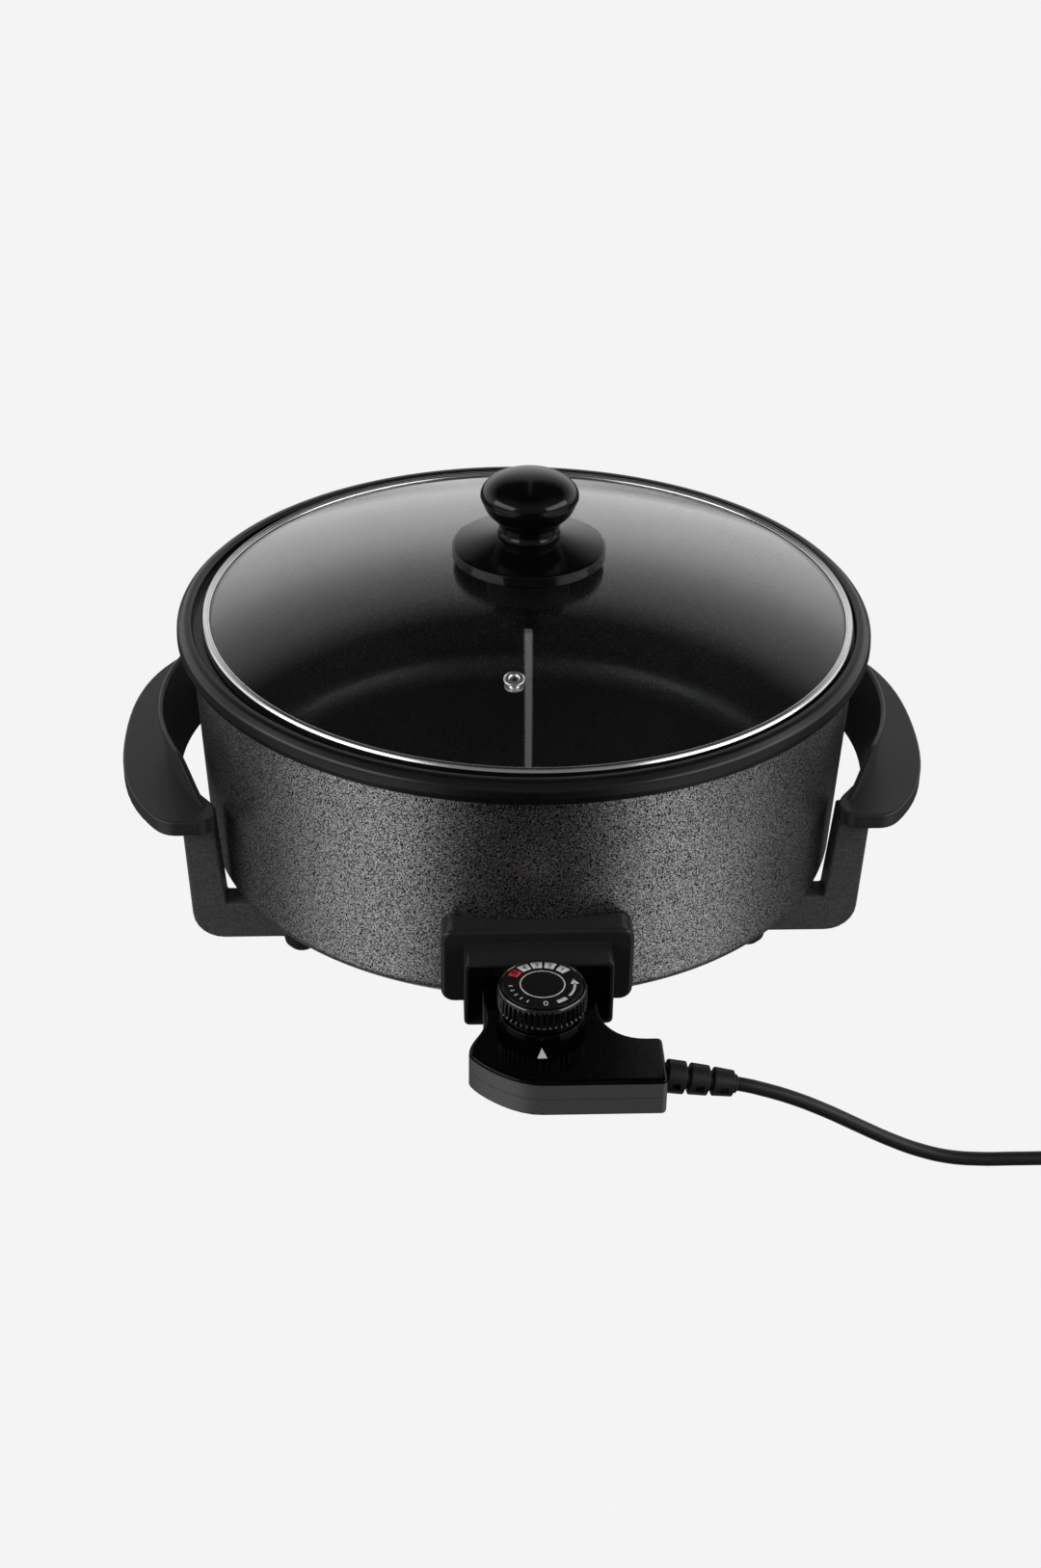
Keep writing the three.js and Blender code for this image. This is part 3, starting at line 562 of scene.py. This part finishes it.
# -------------------------------------------------------- terminal shroud
def make_shroud():
    """The moulded cover on the lower wall, with the hood that the controller's neck goes into."""
    low, _ = span("terminal_shroud")
    front, back = -192, -168
    shroud = prism("shroud", rounded_box(49.5, 45.5, 90, 7), front, back, SHROUD_BLACK_PAINTED_FILL, upright=True)
    soften(shroud, 2.4, 4)
    hood = prism("hood", rounded_box(38, low.z, 83, 3), low.y, front + 4, SHROUD_BLACK_PAINTED_FILL, upright=True)
    soften(hood, 0.9)
    combine(shroud, hood, "UNION")
    mouth = prism("mouth", rounded_box(36, low.z + 2, 81, 2), low.y - 1, front, SHROUD_BLACK_PAINTED_FILL, upright=True)
    combine(shroud, mouth, "DIFFERENCE")
    doorway = box("doorway", (-22, front - 1, 46.6), (22, front + 5, 69), SHROUD_BLACK_PAINTED_FILL)
    combine(shroud, doorway, "DIFFERENCE")
    cavity = box("cavity", (-43.5, front + 2, 44), (43.5, -150, 86), SHROUD_BLACK_PAINTED_FILL)
    combine(shroud, cavity, "DIFFERENCE")
    wall = [(0, 20), (wall_radius(20) + 0.4, 20), (wall_radius(100) + 0.4, 100), (0, 100)]
    combine(shroud, lathe("wall", wall, SHROUD_BLACK_PAINTED_FILL, 256), "DIFFERENCE")
    hand_over(shroud, "pan", "bakelite", "terminal_shroud")


# -------------------------------------------------------------- controller
DIAL_Y = -236
SPLIT_Z, COVER_TOP, BASE_LOW = 57.5, 68.2, 47.2
PARTING = 0.15  # half the gap between the two shells
ARM_END = 58.4
NECK_HOLES = 13  # from the middle of one hole in the neck's end to the next


def body_outline():
    """The controller from above: a neck, a bow round the dial and an arm that the lead leaves."""
    neck, end, front = 28.5, -199, -287.5
    left, right, arm_back = -36.9, ARM_END, -252.9
    return trace(
        (neck - 8, end), ((-neck + 8, end),), ((-neck, end), (-neck, end - 8)), ((-neck, -236),),
        ((-neck, -248), (left, -252), (left, -263)), ((left, -268), (-18, front), (-2, front)),
        ((right - 3, front),), ((right, front), (right, front + 3)), ((right, arm_back - 3),),
        ((right, arm_back), (right - 3, arm_back)), ((51, arm_back),),
        ((38, arm_back), (neck, -243), (neck, -226)), ((neck, end - 8),), ((neck, end), (neck - 8, end)),
    )[:-1]


def round_face(made, z, width, steps):
    """Rounds only the edges of a piece's flat face at height z."""
    weights = made.data.attributes.new("bevel_weight_edge", "FLOAT", "EDGE")
    level = z * MM
    for edge in made.data.edges:
        heights = [made.data.vertices[v].co.z for v in edge.vertices]
        weights.data[edge.index].value = 1.0 if all(abs(h - level) < 1e-6 for h in heights) else 0.0
    bevel = made.modifiers.new("edges", "BEVEL")
    bevel.width = width * MM
    bevel.segments = steps
    bevel.limit_method = "WEIGHT"
    return settle(made)


def paint_reflection_on_sides(cover):
    """Paints the upright faces below the cover's rounded edge with the lighter base material: a painted
    reflection of the pale worktop on the glossy shell's sides.
    """
    cover.data.materials.clear()
    cover.data.materials.append(GLOSS)
    cover.data.materials.append(SATIN_PAINTED_FILL)
    limit = (COVER_TOP - 2) * MM
    for face in cover.data.polygons:
        upright = abs(face.normal.z) < 0.25 and face.center.z < limit
        face.material_index = 1 if upright else 0


def make_controller():
    """Two shells, with a collar under the dial and three holes in the neck for the pins and the probe."""
    cover = prism("controller_cover", body_outline(), SPLIT_Z + PARTING, COVER_TOP, GLOSS)
    round_face(cover, COVER_TOP, 4.4, 6)
    collar = fillet([
        (0, COVER_TOP - 2), (21.4, COVER_TOP - 2), (21.4, COVER_TOP + 0.8, 0.6), (20.8, 72, 0.8),
        (18.6, 72.4, 0.4), (18.6, 75.5), (0, 75.5)])
    combine(cover, lathe("collar", collar, GLOSS, 96, (0, DIAL_Y)), "UNION")
    # Painted reflection: the cover's upright sides take the lighter base material
    paint_reflection_on_sides(cover)
    hand_over(cover, "controller", "gloss_black", "controller_top")
    base = prism("controller_base", body_outline(), BASE_LOW, SPLIT_Z - PARTING, SATIN_PAINTED_FILL)
    round_face(base, BASE_LOW, 1.8, 4)
    bore = [(0, 0), (4.6, 0), (4.6, 9), (0, 9)]
    for side in (-1, 0, 1):
        for shell in (cover, base):
            spot = (side * NECK_HOLES, -196, 57.7)
            hole = ring_along(spot, Matrix.Rotation(math.pi / 2, 4, "X"), bore, "hole", GLOSS, 32)
            combine(shell, hole, "DIFFERENCE")
    hand_over(base, "controller", "bakelite", "controller_bottom")
    arrow = [(-3.8, -269), (1.1, -269), (-1.2, -260.8)]
    marker = prism("marker", arrow, COVER_TOP, COVER_TOP + 0.12, WHITE_PAINT)
    hand_over(marker, "controller", "gloss_black")


def make_relief():
    """The strain relief: three ribbed blocks on a tapering core, dropping towards the worktop."""
    drop = math.atan2(SPLIT_Z - CORD_EXIT[2], CORD_EXIT[0] - ARM_END)
    aim = Matrix.Rotation(math.pi / 2 + drop, 4, "Y")
    start = (58.7, CORD_EXIT[1], 57.4)
    core = fillet([(0, 0), (5.2, 0), (6, 2), (4.6, 36, 0.6), (0, 36)])
    relief = ring_along(start, aim, core, "lead_boot", CORD_SKIN, 48)
    blocks = [(0.6, 9.6, 8.4, 8.2), (12.2, 21.4, 7.9, 7.5), (24, 34, 7.2, 6.5)]
    for near, far, r_near, r_far in blocks:
        block = fillet([(0, near), (r_near, near, 0.5), (r_far, far, 0.5), (0, far)])
        combine(relief, ring_along(start, aim, block, "block", CORD_SKIN, 48), "UNION")
    for near, far, r_near, r_far in blocks:
        middle = (near + far) / 2
        for side in (-1, 1):
            low = (-1.7, side * 9 - 3.4, middle - 2)
            high = (1.7, side * 9 + 3.4, middle + 2)
            slot = box("slot", low, high, CORD_SKIN)
            combine(relief, stand_at(slot, start, aim), "DIFFERENCE")
    hand_over(relief, "controller", "cord_rubber", "strain_relief")


# -------------------------------------------------------------------- dial
DIAL_TOP = 88.6
RIBS, RIB_DEPTH = 46, 1.15
RIB_ROWS = (3, 4, 5)  # the rows of the dial's profile that carry the ribs
PAINT_THICK = 0.1
BLOCK_ANGLES = [-55, -31, -7.5, 16, 41]  # clockwise from the back, in degrees


def band(name, inner, outer, first, last, z, look_of, steps):
    """A flat printed arc on the dial. Angles are clockwise from the back, in degrees."""
    arcs = []
    for radius in (inner, outer):
        spots = []
        for k in range(steps + 1):
            angle = math.radians(first + (last - first) * k / steps)
            spots.append((radius * math.sin(angle), DIAL_Y + radius * math.cos(angle)))
        arcs.append(spots)
    return prism(name, arcs[0] + arcs[1][::-1], z, z + PAINT_THICK, look_of)


def digit(text, angle, radius, size, z, look_of):
    """A numeral on the dial, upright when it is at the back."""
    data = bpy.data.curves.new("numeral", "FONT")
    data.body = text
    data.size = size * MM
    data.extrude = 0.04 * MM
    data.align_x = "CENTER"
    data.align_y = "CENTER"
    made = bpy.data.objects.new("numeral", data)
    bpy.context.scene.collection.objects.link(made)
    bpy.context.view_layer.update()
    mesh = bpy.data.meshes.new_from_object(made.evaluated_get(bpy.context.evaluated_depsgraph_get()))
    bpy.data.objects.remove(made)
    turn = math.radians(angle)
    spot = place(radius * math.sin(turn), DIAL_Y + radius * math.cos(turn), z)
    upright = 0 if abs(angle) > 150 else -turn
    mesh.transform(Matrix.Translation(spot) @ Matrix.Rotation(upright, 4, "Z"))
    mesh.materials.clear()
    mesh.materials.append(look_of)
    shown = bpy.data.objects.new("numeral_" + text, mesh)
    bpy.context.scene.collection.objects.link(shown)
    return shown


def make_dial():
    def ribs(row, angle):
        groove = 0.5 - 0.5 * math.cos(angle * RIBS)
        return -RIB_DEPTH * groove ** 2 if row in RIB_ROWS else 0

    grip = [(5, 76.2), (21, 76.2), (22.2, 77.2), (22.3, 78.2), (22.4, 81), (22.3, 85.4), (22.3, 86.6)]
    grip += [(22, 87.6), (21.4, 88.2), (20.9, 88.2), (20.4, 87.7), (5, 87.6)]
    knob = lathe("dial_knob", grip, DIAL_BLACK, RIBS * 8, (0, DIAL_Y), ribs=ribs)
    hand_over(knob, "dial", "gloss_black", "thermostat_dial")
    disc = fillet([(0, 87.9), (19.9, 87.9), (19.9, DIAL_TOP, 0.25), (0, DIAL_TOP)])
    face = lathe("dial_disc", disc, DIAL_PRINT, 96, (0, DIAL_Y))
    hand_over(face, "dial", "dial_print", "dial_face")
    marks = []
    for number, angle in zip("54321", BLOCK_ANGLES):
        paint = RED_PAINT if number == "5" else WHITE_PAINT
        marks.append(band("mark_" + number, 13.6, 18.5, angle - 9.5, angle + 9.5, DIAL_TOP, paint, 6))
        marks.append(digit(number, angle, 16, 4.6, DIAL_TOP + 0.12, DIAL_PRINT))
    marks.append(digit("0", 177, 16, 5.2, DIAL_TOP + 0.04, WHITE_PAINT))
    marks.append(band("dial_ring_right", 10.7, 11.3, 0, 180, DIAL_TOP, WHITE_PAINT, 48))
    marks.append(band("dial_ring_left", 10.7, 11.3, 180, 360, DIAL_TOP, WHITE_PAINT, 48))
    marks.append(band("dial_arrow", 15.4, 16.6, 88, 128, DIAL_TOP, WHITE_PAINT, 24))
    marks.append(band("dial_arrow_tail", 14.8, 17.2, 136, 156, DIAL_TOP, WHITE_PAINT, 12))
    tip = math.radians(74)
    base = math.radians(90)
    head = [(r * math.sin(a), DIAL_Y + r * math.cos(a)) for r, a in ((16, tip), (18, base), (14, base))]
    marks.append(prism("dial_arrow_head", head, DIAL_TOP, DIAL_TOP + PAINT_THICK, WHITE_PAINT))
    tick_first, tick_step, tick_count = -150, 14, 5
    for k in range(tick_count):
        angle = tick_first + tick_step * k
        marks.append(band(f"dial_tick_{k}", 14.8, 16.8, angle - 1.1, angle + 1.1, DIAL_TOP, WHITE_PAINT, 2))
    for mark in marks:
        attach(mark, "dial")


# --------------------------------------------------------------------- lid
LID_X = 2
GLASS_R, GLASS_EDGE, GLASS_RISE, GLASS_THICK = 178.2, 175.8, 30.5, 3.2
SPHERE = (179.4 ** 2 + GLASS_RISE ** 2) / (2 * GLASS_RISE)
VENT = (LID_X - 12.5, -116.5)


def dome(radius):
    return GLASS_EDGE + GLASS_RISE - SPHERE + math.sqrt(SPHERE ** 2 - radius ** 2)


def make_lid_glass():
    steps = 28
    radii = [GLASS_R * k / steps for k in range(steps + 1)]
    over = [(r, dome(r)) for r in radii]
    under = [(r, dome(r) - GLASS_THICK) for r in reversed(radii)]
    glass = lathe("lid_dome", over + under, GLASS, 192, (LID_X, 0))
    hand_over(glass, "lid", "clear_glass", "lid_glass")


def make_lid_rim():
    """The rolled steel rim, with two beads that catch the light."""
    inner, outer = 176.2, 180.6
    section = fillet([
        (inner, 171.8, 0.5), (inner, 177.2, 1), (inner + 1, 178, 0.8), (inner + 1.9, 177.5, 0.5),
        (inner + 2.3, 177.2, 0.3), (inner + 2.8, 177.6, 0.5), (outer - 1, 178, 0.8), (outer, 176.6, 1),
        (outer, 172.6, 0.8), (outer - 1, 171.8, 0.5)], closed=True, steps=4)
    rim = lathe("lid_band", section, STEEL, 256, (LID_X, 0))
    hand_over(rim, "lid", "polished_steel", "lid_rim")


def make_knob():
    disc = fillet([
        (3.4, 206.7), (16, 206.7), (18, 208, 1), (40.6, 207.2, 1), (42.3, 208.6, 0.8), (42.3, 214.2, 0.7),
        (41, 214.9, 0.8), (18.6, 220.4, 2), (17.4, 220.7), (3.4, 220.7)])
    base = lathe("knob_base", disc, KNOB_BLACK, 128, (LID_X, 0))
    hand_over(base, "lid", "gloss_black", "knob_disc")
    cap_radius, cap_low, cap_rise, cap_steps = 26.9, 243.2, 12.8, 16
    crown = []
    for k in range(cap_steps):
        angle = math.pi / 2 * k / cap_steps
        crown.append((cap_radius * math.cos(angle) ** 0.86, cap_low + cap_rise * math.sin(angle) ** 0.94))
    crown.append((0, 256))
    stem = fillet([
        (0, 221), (17.6, 221, 0.4), (17.2, 222.6, 0.8), (16.5, 224.4, 2), (17.2, 228.6, 4), (23.6, 235.2, 9),
        (26.3, 241.4, 3), (26.4, 242.5, 0.2), (26.9, 243)])
    knob = lathe("knob_cap", stem + crown, KNOB_BLACK, 128, (LID_X, 0))
    hand_over(knob, "lid", "gloss_black", "lid_knob")
    drum = fillet([
        (3.4, 202.6), (22.6, 201.7, 0.6), (23, 184, 1.4), (21.2, 182.5, 0.8), (8, 182.5, 0.6), (8, 194.5),
        (3.4, 194.5)])
    washer = lathe("knob_washer", drum, WASHER_BLACK, 96, (LID_X, 0))
    hand_over(washer, "lid", "bakelite", "lid_washer")


def make_vent():
    """The steel eyelet in the glass, square to the dome."""
    section = fillet([
        (2.2, -5.6, 0.2), (5, -5.6, 0.3), (5, -5, 0.2), (3, -4.8), (3, 0.5), (5.6, 0.5, 0.4), (5.5, 1.3, 0.6),
        (4.4, 1.9, 0.7), (2.9, 1.8, 0.7), (2.2, 0.6, 0.5)], closed=True, steps=4)
    offset = Vector((VENT[0] - LID_X, VENT[1]))
    normal = Vector((offset.x, offset.y, math.sqrt(SPHERE ** 2 - offset.length_squared))).normalized()
    tilt = normal.to_track_quat("Z", "Y").to_matrix().to_4x4()
    vent = ring_along((VENT[0], VENT[1], dome(offset.length)), tilt, section, "vent_eyelet", EYELET, 48)
    hand_over(vent, "lid", "polished_steel", "steam_vent")


# ------------------------------------------------- pieces kept from the CAD
def dress_cad_nodes():
    """Gives each CAD node that stays in view the material of its record slot."""
    finishes = {
        "zinc_steel": ZINC, "nickel_plate": NICKEL, "brass_contact": BRASS, "ceramic": CERAMIC,
        "element_sheath": SHEATH, "bakelite": BAKELITE, "tie_plastic": TIE, "gloss_black": GLOSS,
        "polished_steel": STEEL, "clear_glass": GLASS, "cord_rubber": CORD_SKIN, "foot_rubber": RUBBER,
        "dial_print": DIAL_PRINT, "cast_coating": HAMMERTONE,
    }
    for part in frame["record"]["subparts"]:
        node = frame["nodes"][part["node"]]
        for material_slot in node.material_slots:
            material_slot.material = finishes[part["material_slot"]]
        if not node.material_slots:
            node.data.materials.append(finishes[part["material_slot"]])


# -------------------------------------------------------- floor and lights
BACKGROUND = 0.905  # the plain pale floor
FLOOR_HALF, FLOOR_DROP = 15000, 0.2
SOFTBOX_SPOT, SOFTBOX_SIZE, SOFTBOX_WATTS = (1450, -650, 850), (1700, 700), 12
SOFTBOX_AIM = (0, 0, 90)

# The studio's brightness. Each stop is a part of a direction's unit vector and the brightness there.
BEHIND_BY_HEIGHT = [
    (0.0, 1.0), (0.24, 1.0), (0.34, 0.86), (0.42, 0.6), (0.5, 0.4), (0.56, 0.28), (0.61, 0.12), (0.65, 0.02)]
AHEAD_BY_HEIGHT = [(0.0, 0.2), (0.1, 0.2), (0.8, 0.2), (0.95, 0.02)]
LOW_AHEAD_BY_SIDE = [(0.0, 0.005), (0.34, 0.005), (0.58, 0.85), (0.85, 0.55)]
LOW_BEHIND_BY_SIDE = [(0.0, 0.7), (0.12, 0.3), (0.3, 0.04), (0.8, 0.1)]
SEAM_NORMAL = (1, -0.0468, -0.0087)
SEAM_EDGE = (0.004, 0.008)  # where the seam fades out, either side of its plane
SEAM_BY_HEIGHT = [(0.54, 0.0), (0.58, 0.8), (0.96, 0.8), (0.98, 0.0)]
NO_LIGHT = [(0.0, 0.0), (0.001, 0.0)]


def make_floor():
    """A plain glowing floor. Its light doesn't reach the part: the studio's low half stands in for it."""
    half = FLOOR_HALF
    ground = [(-half, -half), (half, -half), (half, half), (-half, half)]
    floor = piece("floor", [place(x, y, -FLOOR_DROP) for x, y in ground], [(0, 1, 2, 3)], floor_look())
    floor.visible_glossy = False
    floor.visible_diffuse = False


def floor_look():
    material = bpy.data.materials.new("pale_floor")
    material.use_nodes = True
    tree = material.node_tree
    tree.nodes.clear()
    output = tree.nodes.new("ShaderNodeOutputMaterial")
    glow = tree.nodes.new("ShaderNodeEmission")
    glow.inputs["Color"].default_value = grey(BACKGROUND)
    tree.links.new(glow.outputs["Emission"], output.inputs["Surface"])
    return material


def ramp_of(tree, source, stops):
    """Greys along a source value, one stop for each (value, brightness)."""
    ramp = tree.nodes.new("ShaderNodeValToRGB")
    elements = ramp.color_ramp.elements
    elements.remove(elements[1])
    elements[0].position = stops[0][0]
    elements[0].color = grey(stops[0][1])
    for position, value in stops[1:]:
        elements.new(position).color = grey(value)
    tree.links.new(source, ramp.inputs["Fac"])
    return ramp.outputs["Color"]


def make_studio():
    """Light from all round, shaped by direction: behind it is pale low down and dark overhead, ahead it is
    dim with pale low sides. A softbox stands at each side."""
    world = bpy.data.worlds.new("studio")
    bpy.context.scene.world = world
    world.use_nodes = True
    tree = world.node_tree
    ground = tree.nodes["Background"]
    spot = tree.nodes.new("ShaderNodeTexCoord")
    axes = tree.nodes.new("ShaderNodeSeparateXYZ")
    tree.links.new(spot.outputs["Generated"], axes.inputs["Vector"])
    behind = ramp_of(tree, axes.outputs["Z"], BEHIND_BY_HEIGHT)
    ahead = ramp_of(tree, axes.outputs["Z"], AHEAD_BY_HEIGHT)
    sideways = tree.nodes.new("ShaderNodeMath")
    sideways.operation = "ABSOLUTE"
    tree.links.new(axes.outputs["X"], sideways.inputs[0])
    low_ahead = ramp_of(tree, sideways.outputs["Value"], LOW_AHEAD_BY_SIDE)
    low_behind = ramp_of(tree, sideways.outputs["Value"], LOW_BEHIND_BY_SIDE)
    below = blend(tree, axes.outputs["Y"], (-0.15, 0.15), low_ahead, low_behind)
    above = blend(tree, axes.outputs["Y"], (-0.2, 0.3), ahead, add_seam(tree, spot, axes, behind))
    whole = blend(tree, axes.outputs["Z"], (-0.08, 0.0), below, above)
    tree.links.new(whole, ground.inputs["Color"])
    for side in (-1, 1):
        x, y, z = SOFTBOX_SPOT
        softbox(f"softbox_{side}", (side * x, y, z), SOFTBOX_SIZE, SOFTBOX_WATTS)


def add_seam(tree, spot, axes, colour):
    """The thin bright seam between two overhead panels, which the glass lid mirrors as an upright line."""
    across = tree.nodes.new("ShaderNodeVectorMath")
    across.operation = "DOT_PRODUCT"
    across.inputs[1].default_value = SEAM_NORMAL
    tree.links.new(spot.outputs["Generated"], across.inputs[0])
    away = tree.nodes.new("ShaderNodeMath")
    away.operation = "ABSOLUTE"
    tree.links.new(across.outputs["Value"], away.inputs[0])
    dark = ramp_of(tree, axes.outputs["Z"], NO_LIGHT)
    bright = ramp_of(tree, axes.outputs["Z"], SEAM_BY_HEIGHT)
    line = blend(tree, away.outputs["Value"], SEAM_EDGE, bright, dark)
    total = tree.nodes.new("ShaderNodeMixRGB")
    total.blend_type = "ADD"
    total.inputs["Fac"].default_value = 1
    tree.links.new(colour, total.inputs["Color1"])
    tree.links.new(line, total.inputs["Color2"])
    return total.outputs["Color"]


def blend(tree, source, reach, first, second):
    """Colours that go from first to second as the source crosses a reach."""
    share = tree.nodes.new("ShaderNodeMapRange")
    share.inputs["From Min"].default_value = reach[0]
    share.inputs["From Max"].default_value = reach[1]
    tree.links.new(source, share.inputs["Value"])
    mix = tree.nodes.new("ShaderNodeMixRGB")
    tree.links.new(share.outputs["Result"], mix.inputs["Fac"])
    tree.links.new(first, mix.inputs["Color1"])
    tree.links.new(second, mix.inputs["Color2"])
    return mix.outputs["Color"]


def softbox(name, spot, size, watts):
    """A large soft lamp turned towards the pan."""
    data = bpy.data.lights.new(name, "AREA")
    data.shape = "RECTANGLE"
    data.size, data.size_y = (side * MM for side in size)
    data.energy = watts
    lamp = bpy.data.objects.new(name, data)
    lamp.location = place(*spot)
    aim = place(*SOFTBOX_AIM) - lamp.location
    lamp.rotation_euler = aim.to_track_quat("-Z", "Y").to_euler()
    bpy.context.scene.collection.objects.link(lamp)


bpy.context.scene.view_settings.view_transform = "Standard"
make_camera()
lead_piece = make_lead()
plug_pieces = make_plug()
dress_cad_nodes()
make_pan()
for side_x, side_name in ((-1, "left"), (1, "right")):
    make_grip(side_x, side_name)
    for side_y, end_name in ((-1, "front"), (1, "rear")):
        make_leg(side_x, side_y, f"{end_name}_{side_name}")
make_shroud()
make_controller()
make_relief()
make_dial()
make_lid_glass()
make_lid_rim()
make_knob()
make_vent()
make_floor()
make_studio()
